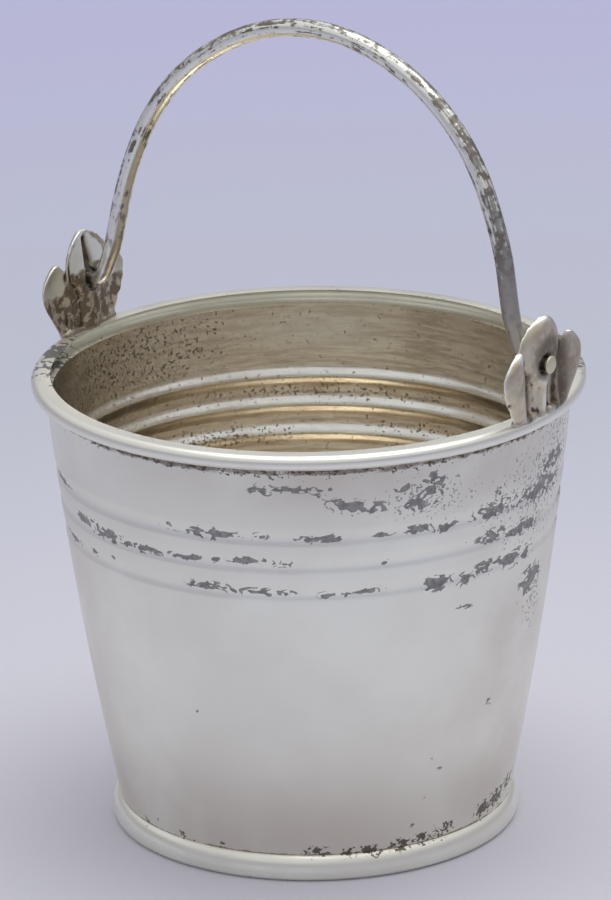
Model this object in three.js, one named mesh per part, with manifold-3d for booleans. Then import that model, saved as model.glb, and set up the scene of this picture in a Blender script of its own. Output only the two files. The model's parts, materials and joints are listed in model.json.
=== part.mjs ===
// A small silver cream pail with a swing handle, in millimetres, +Z up.
// The origin lies on the table at the middle of the foot. The handle's pins lie along X.
import * as THREE from "three";
import { mergeVertices } from "three/addons/utils/BufferGeometryUtils.js";
import Module from "manifold-3d";

// Body: a tapered sheet wall, measured at its outside
const sheet = 0.8;
const wallFootRadius = 23.55;
const wallRimRadius = 31.15;
const wallSwell = 0.65; // how far the side stands out past a straight taper at mid height
const rimHeight = 55.5; // table to the top of the rim wire

// Rim: a heavy round wire on the edge of the wall
const rimWireHeight = 1.8;
const rimWireProud = 0.75; // how far the middle of the wire lies outside the wall's own edge
const rimWireRadius = wallRimRadius + rimWireProud;

// Rolled grooves under the rim, counted from the top one
const grooveCount = 3;
const topGrooveDrop = 10.65; // top of the rim to the middle of the first groove
const groovePitch = 3.5;
const grooveWidth = 2.4;
const grooveDepth = 0.5;

// Foot: an applied moulded ring with the base disc lying on its inner ledge
const footHeight = 3.1;
const footLedge = 0.85; // how far the ring reaches inside the sheet wall
const footProud = 1.2; // how far its band stands out past the sheet wall
const footRecess = 0.9; // how far the flat underside lies inside the band
const baseThickness = 0.9;
const baseClearance = 0.25;

// Ears: cast lugs of three leaves that stand on the rim wire
const earMidLeafHeight = 12.0; // top of the rim to the tip of the middle leaf
const earSideLeafHeight = 8.9;
const earFootHalf = 5.6; // half of the ear's width where it stands on the rim
const earSpread = 8.5; // half of the ear's width over the side leaves
const leafHalf = 4.2; // half of the middle leaf's width
const leafStemHalf = 2.2;
const leafThickness = 1.15;
const midLeafCrown = 1.3; // how far the middle leaf bows outwards
const sideLeafCrown = 1.15;
const earLean = 0.6; // how far the ear would lean outwards at its tip if it stood straight
const tipCurl = 0.2; // how far the tips of the leaves curl back in from there
const ribHalf = 2.3; // half of the width of the rib inside the middle leaf
const ribDepth = 1.25; // how far the rib stands in from the middle of the leaves
const earBarHeight = 1.3;
const earBarThickness = 1.5;

// Handle: a round wire bow with thinned pins that are headed over outside the ears
const pivotRise = 6.1; // top of the rim to the pins
const bailReach = 34.9; // pins to the middle of the wire at the top of the bow
const bailInset = 3.6; // middle of the rim wire to the middle of the handle's legs
const bailHalfSpan = rimWireRadius - bailInset;
const bailWireRadius = 1.0;
const bailLean = 4; // degrees that the bow stands back from upright
const pinRadius = 0.8;
const pinClearance = 0.5;
const pinHeadRadius = 1.15;
const pinHeadLength = 0.65;
const pinHeadGap = 0.22; // play between the floor of the dimple and the head
const pinBendRadius = 1.8;
const pinBendTurn = 69; // degrees from the pins to the feet of the handle's legs
const dimpleRadius = 1.7; // of the shallow dimple round the hole's outer end
const dimpleFloorRise = 0.5; // middle of the leaf to the dimple's floor

// Smoothness, in counts
const roundSteps = 64;
const smallRoundSteps = 16;
const wireSides = 10;

const wasm = await Module();
wasm.setup();

// Colours and sheen of the toned silver
const silver = { color: 0xb4b0a6, roughness: 0.3, metalness: 1 };
const tonedSilver = { color: 0xa3998a, roughness: 0.38, metalness: 1 };
const castSilver = { color: 0xa9a294, roughness: 0.34, metalness: 1 };

function named(name, geometry, finish) {
  const mesh = new THREE.Mesh(geometry, new THREE.MeshStandardMaterial(finish));
  mesh.name = name;
  return mesh;
}

// A closed loop of [radius, height] points, turned about Z
function turned(loop, steps = roundSteps) {
  const points = loop.map(([radius, height]) => new THREE.Vector2(radius, height));
  if (points[0].x > 0) points.push(points[0].clone());
  const geometry = new THREE.LatheGeometry(points, steps);
  geometry.rotateX(Math.PI / 2);
  return geometry;
}

function solidOf(geometry) {
  const bare = geometry.clone();
  bare.deleteAttribute("normal");
  bare.deleteAttribute("uv");
  const merged = mergeVertices(bare);
  return new wasm.Manifold(
    new wasm.Mesh({
      numProp: 3,
      vertProperties: merged.getAttribute("position").array,
      triVerts: new Uint32Array(merged.index.array),
    }),
  );
}

function geometryOf(solid) {
  const mesh = solid.getMesh();
  const geometry = new THREE.BufferGeometry();
  geometry.setAttribute("position", new THREE.BufferAttribute(mesh.vertProperties, mesh.numProp));
  geometry.setIndex(new THREE.BufferAttribute(mesh.triVerts, 1));
  geometry.computeVertexNormals();
  return geometry;
}

// A closed skin over rings of points that all run the same way, with a fan at each end
function lofted(rings) {
  const sides = rings[0].length;
  const points = rings.flat();
  const faces = [];
  rings.slice(1).forEach((_, k) => {
    for (let i = 0; i < sides; i += 1) {
      const j = (i + 1) % sides;
      const [a, b] = [k * sides + i, k * sides + j];
      faces.push(a, b, b + sides, a, b + sides, a + sides);
    }
  });
  const first = points.length;
  [rings[0], rings.at(-1)].forEach((ring) => {
    const middle = ring.reduce((sum, p) => sum.add(p), new THREE.Vector3());
    points.push(middle.divideScalar(sides));
  });
  const start = (rings.length - 1) * sides;
  for (let i = 0; i < sides; i += 1) {
    const j = (i + 1) % sides;
    faces.push(first, j, i, first + 1, start + i, start + j);
  }
  const geometry = new THREE.BufferGeometry().setFromPoints(points);
  geometry.setIndex(faces);
  geometry.computeVertexNormals();
  return geometry;
}

// Body wall
const wallTop = rimHeight - rimWireHeight;
const wallSpan = wallTop - footHeight;
const firstGroove = rimHeight - topGrooveDrop;

// Outside radius of the plain taper at a height
function taperRadius(height) {
  const share = (height - footHeight) / wallSpan;
  const swell = wallSwell * (1 - (2 * share - 1) ** 2);
  return THREE.MathUtils.lerp(wallFootRadius, wallRimRadius, share) + swell;
}

// A rolled groove from its lower edge up: [share of its half width, share of its depth]
const grooveShares = [
  [-1, 0],
  [-0.78, 0.6],
  [-0.45, 1],
  [0.2, 0.65],
  [1, 0],
];

// Heights up the wall, each with how far the grooves go in there
function wallStations() {
  const grooveEnd = firstGroove - (grooveCount - 1) * groovePitch - grooveWidth / 2;
  const plainSteps = 5;
  const stations = [];
  for (let i = 0; i < plainSteps; i += 1) {
    stations.push([THREE.MathUtils.lerp(footHeight, grooveEnd, i / plainSteps), 0]);
  }
  for (let k = grooveCount - 1; k >= 0; k -= 1) {
    const middle = firstGroove - k * groovePitch;
    grooveShares.forEach(([rise, dip]) => {
      stations.push([middle + (rise * grooveWidth) / 2, dip * grooveDepth]);
    });
  }
  stations.push([(stations.at(-1)[0] + wallTop) / 2, 0], [wallTop, 0]);
  return stations;
}

function bodyWall() {
  const outside = wallStations().map(([z, dip]) => [taperRadius(z) - dip, z]);
  const inside = outside.map(([radius, z]) => [radius - sheet, z]);
  return turned([...outside, ...inside.reverse()]);
}

// Rim wire: round outside, dressed flush with the wall inside. It sits flat on the wall's edge.
function rimWire() {
  const sides = 12;
  const roundSides = 7;
  const dressedShares = { shoulder: 0.16, side: 0.42 };
  const reach = rimWireHeight / 2 / Math.cos(Math.PI / sides);
  const wallInner = wallRimRadius - sheet;
  const loop = [];
  for (let i = 0; i < roundSides; i += 1) {
    const angle = ((i + 0.5) * 2 * Math.PI) / sides - Math.PI / 2;
    loop.push([
      rimWireRadius + reach * Math.cos(angle),
      rimHeight - rimWireHeight / 2 + reach * Math.sin(angle),
    ]);
  }
  const shoulder = (loop.at(-1)[0] + wallInner) / 2;
  loop.push([shoulder, rimHeight - rimWireHeight * dressedShares.shoulder]);
  loop.push([wallInner, rimHeight - rimWireHeight * dressedShares.side]);
  loop.push([wallInner, wallTop]);
  return turned(loop);
}

// Foot ring: a flat underside and one full roll up to the wall
const footInner = wallFootRadius - sheet - footLedge;
const footOuter = wallFootRadius + footProud;

function footRing() {
  // The roll, from low to high: [share of the ring's height, share of how far it stands out]
  const rollShares = [
    [0.1, 0.74],
    [0.3, 1],
    [0.5, 0.97],
    [0.7, 0.76],
    [0.86, 0.45],
    [0.96, 0.16],
  ];
  return turned([
    [footInner, 0],
    [footOuter - footRecess, 0],
    ...rollShares.map(([rise, out]) => [wallFootRadius + out * footProud, rise * footHeight]),
    [wallFootRadius, footHeight],
    [footInner, footHeight],
  ]);
}

// Base disc: lies on the ring's ledge inside the wall
function baseDisc() {
  const radius = wallFootRadius - sheet - baseClearance;
  return turned([
    [0, footHeight],
    [radius, footHeight],
    [radius, footHeight + baseThickness],
    [0, footHeight + baseThickness],
  ]);
}

// Ear: each leaf is a skin over level slices. A slice is a bowed strip that thins to its edges.
const pivotHeight = rimHeight + pivotRise;

// Where the middle of the ear's thickness lies. The ear is cast flat and leans outwards.
function earMiddle(height) {
  const rise = (height - rimHeight) / earMidLeafHeight;
  return rimWireRadius + earLean * rise;
}

// How far a leaf's tip curls back in, at a share of the leaf's own height
function curlAt(rise) {
  const curlStartShare = 0.5;
  const along = Math.max(0, (rise - curlStartShare) / (1 - curlStartShare));
  return tipCurl * along ** 2;
}

// A level slice through a leaf: full outside, cupped inside between thicker edges
function leafSlice(from, to, height, crown, curl) {
  const outerShares = [-1, -0.75, -0.3, 0.3, 0.75, 1];
  const innerShares = [0.75, 0.3, -0.3, -0.75];
  const cupShare = 0.5;
  const half = (to - from) / 2;
  const place = (share, side) => {
    const across = from + half + share * half;
    const thick = (leafThickness / 2) * Math.sqrt(1 - share ** 4);
    const bow = crown * (1 - share ** 2) - crown / 2;
    const out = bow + side * thick - curl;
    return new THREE.Vector3(earMiddle(height) + out, across, height);
  };
  return [
    ...outerShares.map((share) => place(share, 1)),
    ...innerShares.map((share) => place(share, -1 + cupShare * (1 - share ** 2))),
  ];
}

// Outlines of the leaves: [share of the leaf's height, edge, edge], edges as shares of a half width
function midLeaf() {
  const outlineShares = [
    [0, leafStemHalf / leafHalf],
    [0.22, 0.54],
    [0.36, 0.66],
    [0.5, 0.88],
    [0.62, 1],
    [0.74, 0.94],
    [0.84, 0.74],
    [0.92, 0.5],
    [0.97, 0.3],
    [1, 0.1],
  ];
  return lofted(
    outlineShares.map(([rise, edge]) => {
      const height = rimHeight + rise * earMidLeafHeight;
      const crown = midLeafCrown * Math.min(1, edge);
      return leafSlice(-edge * leafHalf, edge * leafHalf, height, crown, curlAt(rise));
    }),
  );
}

function sideLeaf(side) {
  const footShare = earFootHalf / earSpread;
  const leastCrownShare = 0.3;
  const outlineShares = [
    [0, 0.2, footShare],
    [0.2, 0.22, 0.79],
    [0.42, 0.26, 0.94],
    [0.6, 0.32, 1],
    [0.76, 0.39, 0.97],
    [0.89, 0.46, 0.85],
    [0.97, 0.54, 0.73],
    [1, 0.61, 0.66],
  ];
  return lofted(
    outlineShares.map(([rise, near, far]) => {
      const height = rimHeight + rise * earSideLeafHeight;
      const edges = [side * near * earSpread, side * far * earSpread].sort((a, b) => a - b);
      const crown = sideLeafCrown * Math.min(1, leastCrownShare + far - near);
      return leafSlice(...edges, height, crown, curlAt(rise));
    }),
  );
}

// The rib inside the middle leaf, full up to the hole and running out below the tip
function leafRib() {
  // From the rim up: [share of the leaf's height, share of the rib's width, share of its depth]
  const ribShares = [
    [0, 0.9, 1],
    [0.3, 0.95, 1],
    [0.52, 1, 1],
    [0.66, 0.9, 0.75],
    [0.78, 0.6, 0.45],
    [0.9, 0.25, 0.15],
  ];
  const faceShare = 0.72;
  const seat = { widthShare: 0.65, depthShare: 0.4 };
  return lofted(
    ribShares.map(([rise, wide, deep]) => {
      const height = rimHeight + rise * earMidLeafHeight;
      const [middle, half] = [earMiddle(height), wide * ribHalf];
      const [face, back] = [middle - deep * ribDepth, middle + seat.depthShare * leafThickness];
      return [
        new THREE.Vector3(middle, -half, height),
        new THREE.Vector3(back, -seat.widthShare * half, height),
        new THREE.Vector3(back, seat.widthShare * half, height),
        new THREE.Vector3(middle, half, height),
        new THREE.Vector3(face, faceShare * half, height),
        new THREE.Vector3(face, -faceShare * half, height),
      ];
    }),
  );
}

// A low bar that joins the feet of the leaves along the rim
function earBar() {
  const steps = 6;
  const rings = [];
  for (let i = 0; i <= steps; i += 1) {
    const across = earFootHalf * ((2 * i) / steps - 1);
    const inner = earMiddle(rimHeight) - earBarThickness / 2;
    const outer = inner + earBarThickness;
    rings.push([
      new THREE.Vector3(inner, across, rimHeight),
      new THREE.Vector3(outer, across, rimHeight),
      new THREE.Vector3(outer, across, rimHeight + earBarHeight / 2),
      new THREE.Vector3((outer + inner) / 2, across, rimHeight + earBarHeight),
      new THREE.Vector3(inner, across, rimHeight + earBarHeight / 2),
    ].reverse());
  }
  return lofted(rings);
}

function alongX(radius, from, to) {
  const geometry = new THREE.CylinderGeometry(radius, radius, to - from, smallRoundSteps);
  geometry.rotateZ(Math.PI / 2);
  geometry.translate((from + to) / 2, 0, pivotHeight);
  return geometry;
}

const holeMiddle = earMiddle(pivotHeight) + midLeafCrown / 4;
const dimpleFloor = holeMiddle + dimpleFloorRise;

function ear(turns) {
  const bore = alongX(pinRadius + pinClearance, holeMiddle - leafHalf, holeMiddle + leafHalf);
  const dimple = alongX(dimpleRadius, dimpleFloor, holeMiddle + leafHalf);
  const parts = [midLeaf(), sideLeaf(1), sideLeaf(-1), leafRib(), earBar()];
  const solid = parts.map(solidOf).reduce((sum, part) => sum.add(part));
  const geometry = geometryOf(solid.subtract(solidOf(bore)).subtract(solidOf(dimple)));
  geometry.rotateZ(turns * Math.PI);
  return geometry;
}

// Handle: stations along the wire from the right-hand head to the top of the bow. Each has its x,
// its rise over the pins, the wire's radius there and the turn of the section from upright.
function halfBail() {
  const pinReach = dimpleFloor + pinHeadGap;
  const pinEnd = pinReach + pinHeadLength;
  const domeShare = 0.85;
  const stations = [
    [pinEnd, 0, pinHeadRadius * domeShare, 0],
    [pinEnd - pinHeadLength / 4, 0, pinHeadRadius, 0],
    [pinReach + pinHeadLength / 4, 0, pinHeadRadius, 0],
    [pinReach, 0, pinRadius, 0],
  ];
  // The leg from its foot to the top of the bow: [share of a quarter turn, share of the half span,
  // share of the wire's radius]
  const bowShares = [
    [0, 1.037, 0.85],
    [0.02, 1.024, 0.9],
    [0.05, 1.007, 0.95],
    [0.08, 0.996, 1],
    [0.13, 0.99, 1],
    [0.2, 0.993, 1],
    [0.3, 0.997, 1],
    [0.4, 1.011, 1],
    [0.5, 1.021, 1],
    [0.6, 1.019, 1],
    [0.7, 1.017, 1],
    [0.8, 1.017, 1],
    [0.9, 1.015, 1],
    [1, 1, 1],
  ];
  const quarter = Math.PI / 2;
  const bendTurn = THREE.MathUtils.degToRad(pinBendTurn);
  const footRise = pinBendRadius * (1 - Math.cos(bendTurn));
  const bow = bowShares.map(([turnShare, spanShare, wireShare]) => [
    spanShare * bailHalfSpan * Math.cos(turnShare * quarter),
    footRise + (bailReach - footRise) * Math.sin(turnShare * quarter),
    wireShare * bailWireRadius,
  ]);
  const bendX = bow[0][0] + pinBendRadius * Math.sin(bendTurn);
  const bendSteps = 4;
  for (let i = 0; i <= bendSteps; i += 1) {
    const turn = (i / bendSteps) * bendTurn;
    const radius = THREE.MathUtils.lerp(pinRadius, bow[0][2], i / bendSteps);
    const rise = pinBendRadius * (1 - Math.cos(turn));
    stations.push([bendX - pinBendRadius * Math.sin(turn), rise, radius, turn]);
  }
  bow.slice(1).forEach(([x, rise, radius], k) => {
    const [lastX, lastRise] = bow[k];
    const [nextX, nextRise] = bow[k + 2] ?? [-lastX, lastRise];
    const angle = Math.PI - Math.atan2(nextRise - lastRise, nextX - lastX);
    stations.push([x, rise, radius, angle]);
  });
  return stations;
}

function wireRing([x, rise, radius, angle]) {
  const ring = [];
  for (let i = 0; i < wireSides; i += 1) {
    const turn = (2 * Math.PI * i) / wireSides;
    const out = radius * Math.cos(turn);
    const [across, back] = [x + out * Math.sin(angle), radius * Math.sin(turn)];
    ring.push(new THREE.Vector3(across, back, rise + out * Math.cos(angle)));
  }
  return ring;
}

function bail() {
  const half = halfBail();
  const mirrored = half.slice(0, -1).map(([x, rise, radius, angle]) => [-x, rise, radius, -angle]);
  const geometry = lofted([...half, ...mirrored.reverse()].map(wireRing));
  geometry.rotateX(-THREE.MathUtils.degToRad(bailLean));
  geometry.translate(0, 0, pivotHeight);
  return geometry;
}

const pail = new THREE.Group();
pail.add(named("body_wall", bodyWall(), silver));
pail.add(named("base_disc", baseDisc(), tonedSilver));
pail.add(named("foot_ring", footRing(), silver));
pail.add(named("rim_wire", rimWire(), silver));
pail.add(named("right_ear", ear(0), castSilver));
pail.add(named("left_ear", ear(1), castSilver));
pail.add(named("bail", bail(), silver));

export default pail;
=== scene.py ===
"""The small silver cream pail: wall, base, foot, rim wire, leaf ears and swing handle,
with the pale table it stands on and the soft light round it."""

import functools
import json
import math

import bmesh
import bpy
from bpy.props import FloatProperty, FloatVectorProperty, IntProperty, PointerProperty
from mathutils import Matrix, Vector, noise


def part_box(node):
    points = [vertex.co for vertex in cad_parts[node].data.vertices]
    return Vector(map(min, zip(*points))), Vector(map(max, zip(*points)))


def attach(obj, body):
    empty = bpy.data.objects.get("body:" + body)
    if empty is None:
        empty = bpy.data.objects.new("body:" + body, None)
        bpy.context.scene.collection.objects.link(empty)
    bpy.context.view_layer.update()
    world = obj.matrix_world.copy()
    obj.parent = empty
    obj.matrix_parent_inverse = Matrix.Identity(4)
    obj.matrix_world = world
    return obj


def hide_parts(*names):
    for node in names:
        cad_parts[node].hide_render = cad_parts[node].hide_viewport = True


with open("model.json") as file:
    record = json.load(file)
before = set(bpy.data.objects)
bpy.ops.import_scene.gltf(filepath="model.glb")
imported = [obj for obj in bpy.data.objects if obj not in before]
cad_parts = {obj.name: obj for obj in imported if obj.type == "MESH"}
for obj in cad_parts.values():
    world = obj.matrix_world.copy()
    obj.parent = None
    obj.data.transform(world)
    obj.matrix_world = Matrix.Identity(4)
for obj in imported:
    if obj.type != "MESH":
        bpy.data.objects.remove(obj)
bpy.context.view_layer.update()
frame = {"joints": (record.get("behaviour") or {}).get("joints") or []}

bl_info = {
    "name": "Silver Cream Pail",
    "version": (1, 0, 0),
    "blender": (4, 5, 0),
    "location": "View3D > Sidebar > Cream Pail",
    "description": "Builds the pieces and the toned finish of a small silver cream pail",
    "category": "Add Mesh",
}

MM = 0.001
FULL_TURN = 2 * math.pi
QUARTER_TURN = math.pi / 2

# Profiles, each a list of [share along, share across]
WORN_GROOVE = ((0, 0), (0.14, 0.06), (0.3, 0.24), (0.44, 0.3), (0.62, 0.24), (0.86, 0.06), (1, 0))
GROOVE_SHAPE = ((0, 0), (0.2, 0.2), (0.4, 0.58), (0.52, 0.68), (0.7, 0.48), (0.88, 0.14), (1, 0))
FOOT_ROLL = (
    (0, 0.2), (0.1, 0.55), (0.3, 0.74), (0.5, 0.72), (0.7, 0.6), (0.86, 0.4), (0.96, 0.16), (1, 0),
)
MIDDLE_LEAF_EDGE = (
    (0, 0.44), (0.2, 0.41), (0.3, 0.45), (0.4, 0.66), (0.5, 0.88), (0.62, 1), (0.74, 0.97),
    (0.84, 0.82), (0.92, 0.58), (0.97, 0.34), (1, 0.12),
)
SIDE_LEAF_NEAR = (
    (0, 0.33), (0.2, 0.36), (0.42, 0.38), (0.6, 0.4), (0.76, 0.44), (0.89, 0.5), (1, 0.6),
)
SIDE_LEAF_FAR = (
    (0, 0.66), (0.2, 0.79), (0.42, 0.94), (0.6, 1), (0.76, 0.97), (0.89, 0.85), (0.97, 0.73),
    (1, 0.67),
)
RIB_WIDTH = ((0, 0.8), (0.3, 0.9), (0.45, 1.1), (0.6, 1.5), (0.78, 1.45), (0.9, 0.95), (0.96, 0.55))
RIB_DEPTH = ((0, 1), (0.5, 1), (0.66, 0.7), (0.78, 0.45), (0.9, 0.2), (0.96, 0.1))
BOW_SPAN = (
    (0, 1.037), (0.02, 1.024), (0.05, 1.007), (0.08, 0.996), (0.13, 0.99), (0.2, 0.993),
    (0.3, 0.997), (0.4, 1.011), (0.5, 1.021), (0.6, 1.019), (0.7, 1.017), (0.8, 1.017),
    (0.9, 1.015), (1, 1),
)

# The spread head of the handle's pin, each [millimetres in from its face, share of its radius]
PIN_HEAD = ((0, 0.4), (0.04, 0.68), (0.12, 0.88), (0.22, 0.98), (0.32, 1), (0.5, 0.86))

# Pits in an ear's outer face, each [across, up from the hole, radius, depth] in millimetres
EAR_PITS = ((-7.0, -3.3, 0.35, 0.35), (-2.9, -2.5, 0.5, 0.35), (3.1, -3.9, 0.4, 0.25))

# Marks left by age, and some painted shade, each [degrees round from the -Y side, height, half
# width in degrees, half height], with the heights in millimetres
GROOVE_OXIDE = (
    (1.7, 45.0, 3.0, 0.45), (11.7, 44.9, 6.0, 0.7), (22, 45.0, 2.2, 0.45), (31.5, 44.8, 1.2, 0.3),
    (37, 44.8, 4.2, 0.65), (50, 44.9, 2.4, 0.35), (58, 44.9, 3.5, 0.5), (65, 44.5, 3.0, 0.6),
    (80, 45.0, 7.5, 1.1), (98, 45.0, 10, 1.3), (-28, 41.9, 5, 0.7), (-19, 41.5, 6, 0.8),
    (-8, 41.2, 6, 0.55), (4.7, 41.5, 4.2, 0.45), (12, 41.5, 0.8, 0.5), (20, 41.8, 4.6, 0.5),
    (27, 41.6, 2.8, 0.4), (50.4, 41.3, 0.9, 0.35), (79, 41.5, 4.5, 1.0), (90, 41.2, 6, 0.9),
    (-25.8, 38.2, 1.4, 0.45), (-17.8, 38.8, 0.9, 0.35), (10, 38.1, 5, 0.6), (21, 37.9, 8, 0.5),
    (37, 37.6, 2.0, 0.4), (41.5, 37.6, 1.0, 0.5), (47, 37.9, 3.2, 0.4), (64, 37.6, 3.6, 1.0),
    (71, 37.3, 2.8, 0.9), (79, 38.0, 4.5, 0.8), (88, 37.6, 7, 1.0), (132, 44.9, 9, 0.6),
    (158, 41.4, 12, 0.7), (171, 44.8, 6, 0.5), (196, 37.9, 10, 0.6), (214, 44.9, 14, 0.8),
    (236, 41.4, 8, 0.6), (252, 37.8, 13, 0.7), (275, 44.8, 9, 0.6), (298, 41.3, 11, 0.7),
    (-38, 38.0, 5, 0.5), (-42, 44.9, 7, 0.5), (118, 41.3, 7, 0.8), (124, 37.7, 8, 0.7),
)
PLAIN_OXIDE = (
    (23.5, 50.9, 2.6, 0.7), (31, 51.1, 4.5, 0.4), (36.6, 50.5, 2.0, 0.8), (41, 49.0, 4, 0.7),
    (46, 48.3, 4.5, 0.8), (54.5, 50.4, 2.2, 0.5), (61, 50.0, 3.6, 1.6), (58, 48.0, 4.5, 0.8),
    (79.5, 47.1, 1.3, 0.5), (104, 47.5, 8, 1.2), (97, 33.4, 5, 1.8), (72.3, 33.7, 2.6, 0.3),
    (3.3, 20.9, 0.7, 0.35), (84, 19.4, 0.9, 0.6), (85, 18.2, 0.6, 0.4), (66.5, 14.8, 0.7, 0.5),
    (69, 12.8, 0.7, 0.5), (64.5, 9.2, 0.7, 0.35), (61.8, 5.7, 0.7, 0.35), (19.7, 6.8, 0.6, 0.3),
    (15.1, 4.1, 0.6, 0.25), (-17.8, 4.2, 0.6, 0.3), (203, 50.6, 8, 0.9), (229, 48.8, 7, 0.8),
    (268, 50.2, 9, 1.4), (176, 27, 2.5, 0.8), (300, 22, 2.0, 0.5),
)
FOOT_OXIDE = (
    (34, 3.6, 4.4, 1.1), (43, 3.3, 3.4, 0.9), (50, 3.4, 5, 1.1), (58, 3.5, 5.4, 1.1),
    (66, 3.8, 5, 1.1), (73, 4.2, 5.4, 1.3), (90, 4.5, 6.5, 1.7), (98, 5.1, 7, 1.8),
    (106, 6, 6, 1.7), (6, 3.5, 1.4, 0.6), (-8, 3.7, 2.2, 0.8), (-24, 3.4, 1.8, 0.7),
    (150, 3.7, 12, 1.1), (190, 3.5, 9, 0.9), (232, 3.6, 14, 1.1), (285, 3.5, 10, 0.8),
)
INNER_DUSK = ((268, 48, 34, 9), (300, 44, 26, 9), (150, 53, 26, 2.5), (236, 53.2, 12, 1.0))
INNER_SPECKS = ((262, 50, 40, 6), (208, 43, 50, 1.2), (186, 39, 22, 1.2), (240, 38, 30, 2))
INNER_CLEAN = ((214, 51.3, 17, 1.1), (212, 49.4, 12, 0.5))
# Stain on the rim, partly painted shade by the ears
RIM_STAIN_AND_EAR_SHADE = ((292, 55, 15, 9), (134, 55, 15, 9))
# Painted shade: the left and right sides of the wall made darker and browner
SIDE_SHADE = ((106, 28, 32, 24), (-62, 28, 32, 22))
SPECKLED = (
    (100, 30, 7, 4), (97, 45, 22, 8), (60, 48.5, 14, 3), (106, 50.5, 18, 3.5), (240, 46, 30, 6),
)
TONED = (
    (38, 52.5, 42, 4.0), (88, 50, 26, 4.5), (2, 5.5, 24, 7), (36, 6, 34, 6.5),
    (88, 8, 18, 5), (-30, 6, 26, 6), (170, 51, 40, 4), (200, 6, 60, 5), (280, 8, 40, 8),
)

# Bands of dirt and painted shade, each from where it is full to where it ends, counted away from
# its seam
GROOVE_LINE = (0.03 * MM, 0.2 * MM)
RIM_HAZE, FOOT_HAZE = (0.5 * MM, 1.9 * MM), (0, 0.8 * MM)
RIM_CRUST, FOOT_CRUST = (0.6 * MM, 2.6 * MM), (0.1 * MM, 0.8 * MM)
SOLDER_BAND = (0.2 * MM, 0.9 * MM)
HOLE_BAND = (0.05 * MM, 0.5 * MM)

# Where a noise goes over from its low patches to its high ones
PATCHES = (0.35, 0.65)


@functools.lru_cache
def box(node):
    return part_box(node)


def box_top(node):
    return box(node)[1].z


def box_radius(node):
    return box(node)[1].y


def length(name, description, millimetres):
    return FloatProperty(
        name=name, description=description, default=millimetres * MM, unit="LENGTH"
    )


def share(name, description, default):
    return FloatProperty(name=name, description=description, default=default, min=0, max=1)


def angle(name, description, degrees):
    return FloatProperty(
        name=name, description=description, default=math.radians(degrees), subtype="ANGLE"
    )


def colour(name, description, default):
    return FloatVectorProperty(
        name=name, description=description, default=default, size=3, min=0, max=1, subtype="COLOR"
    )


class CreamPailSizes(bpy.types.PropertyGroup):
    """Sizes of the pail's own pieces"""

    sheet: length("Sheet", "Thickness of the wall", 0.8)
    wall_foot_radius: length("Wall at foot", "Outside of the wall at the foot", 23.55)
    wall_swell: length("Swell", "How far the side stands past a straight taper", 0.65)
    groove_drop: length("Groove drop", "Top of the rim to the first groove", 10.65)
    groove_pitch: length("Groove pitch", "From groove to groove", 3.5)
    groove_width: length("Groove width", "Width of one rolled groove", 2.4)
    groove_depth: length("Groove depth", "Depth of one rolled groove", 0.5)
    foot_ledge: length("Foot ledge", "How far the foot ring reaches inside the wall", 0.85)
    foot_chamfer: length("Foot chamfer", "Eased edge under the foot ring's ledge", 0.2)
    base_dish: length("Base dish", "How far the base sinks in the middle", 0.25)
    hand_wobble: length("Wobble", "How far hand work strays from a true round", 0.09)
    wobble_span: length("Wobble span", "Width of one flat left by hand work", 21)
    ear_foot_half: length("Ear foot", "Half of an ear's width on the rim", 5.6)
    ear_spread: length("Ear spread", "Half of an ear's width over its side leaves", 8.35)
    ear_flare: length("Ear flare", "How far the side leaves flare outwards", 0.6)
    ear_side_height: length("Side leaf", "Height of a side leaf over the rim", 8.8)
    leaf_half: length("Middle leaf", "Half of the middle leaf's width", 4.4)
    leaf_sheet: length("Leaf thickness", "Thickness of a leaf", 1.1)
    leaf_crown: length("Leaf crown", "How far the middle leaf bows outwards", 1.35)
    side_crown: length("Side leaf crown", "How far a side leaf bows outwards", 0.85)
    ear_lean: length("Ear lean", "How far an ear leans out at its tip", 0.6)
    tip_curl: length("Tip curl", "How far the leaf tips curl back in", 0.05)
    rib_half: length("Rib", "Half of the width of the rib inside the middle leaf", 2.3)
    rib_depth: length("Rib depth", "How far the rib stands in", 1.2)
    hole_radius: length("Hole", "Radius of the hole for the handle's pin", 1.3)
    dimple_radius: length("Dimple", "Radius of the dimple round the hole outside", 1.7)
    dimple_depth: length("Dimple depth", "Depth of the dimple", 0.35)
    crease_depth: length("Crease", "Depth of the crease inside the middle leaf", 0.6)
    web_back: length("Web", "How far the web stands in from the middle of the leaves", 0.2)
    web_half: length("Web thickness", "Half of the thickness of the web", 0.3)
    tip_room: length("Tip room", "How far the tips stay below the ear's full height", 0.1)
    casting_grid: length("Casting grid", "Grid on which the ear is cast", 0.12)
    casting_grain: length("Casting grain", "Depth of the grain left by the mould", 0.014)
    wire_radius: length("Handle wire", "Radius of the handle's wire", 1.07)
    pin_radius: length("Pin", "Radius of the handle's thinned pin", 0.8)
    pin_bend: length("Pin bend", "Radius of the bend from the pin to the leg", 1.8)
    pin_bend_turn: angle("Pin bend turn", "Angle between the pin and the leg's foot", 69)
    pin_head: length("Pin head", "Radius of the pin's spread end", 1.08)
    bow_half: length("Bow", "Middle of the wire to the pail's axis", 28.3)
    bow_reach: length("Bow reach", "Pins to the middle of the wire at the top", 34.76)
    bow_lean: angle("Bow lean", "How far the bow stands back from upright", 4)
    bow_stray: length("Bow stray", "How far the wire strays from a true bow", 0.06)
    stray_span: length("Stray span", "Length of one kink in the wire", 9)
    plain_step: length("Plain step", "Height of a face of the plain wall", 0.7)
    groove_step: length("Groove step", "Height of a face in the grooves", 0.12)
    turn_steps: IntProperty(name="Turn steps", description="Faces round the pail", default=320)


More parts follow.
